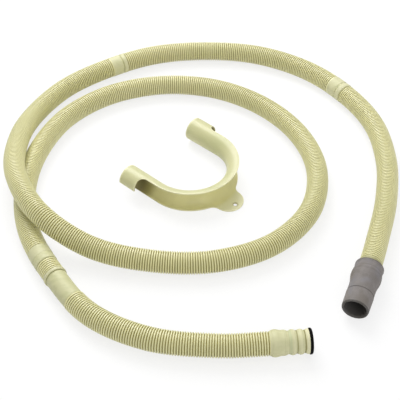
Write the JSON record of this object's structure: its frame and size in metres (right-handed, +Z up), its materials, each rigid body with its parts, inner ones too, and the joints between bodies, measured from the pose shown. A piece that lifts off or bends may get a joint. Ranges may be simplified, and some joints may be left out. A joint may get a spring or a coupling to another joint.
{
  "type": "dishwasher drain hose",
  "caption": "Corrugated drain hose lying in a loose loop, with a rubber waste connector, a moulded end cuff with seal ring, and its U-shaped hose holder.",
  "frame": {"origin": "floor under the middle of the whole object's bounding box", "axes": "+X to the right along the machine cuff, +Y away from the viewer across the loop, +Z up from the floor that the hose lies on"},
  "size_m": [0.4322, 0.4837, 0.0473],
  "materials": {
    "hose_plastic": "satin beige-yellow moulded plastic",
    "grey_rubber": "matt grey rubber",
    "black_rubber": "matt black rubber",
    "holder_plastic": "satin beige-yellow moulded plastic"
  },
  "bodies": {
    "root": {"drain_hose": "hose_plastic", "rubber_connector": "grey_rubber", "seal_ring": "black_rubber", "hose_holder": "holder_plastic"}
  },
  "joints": []
}
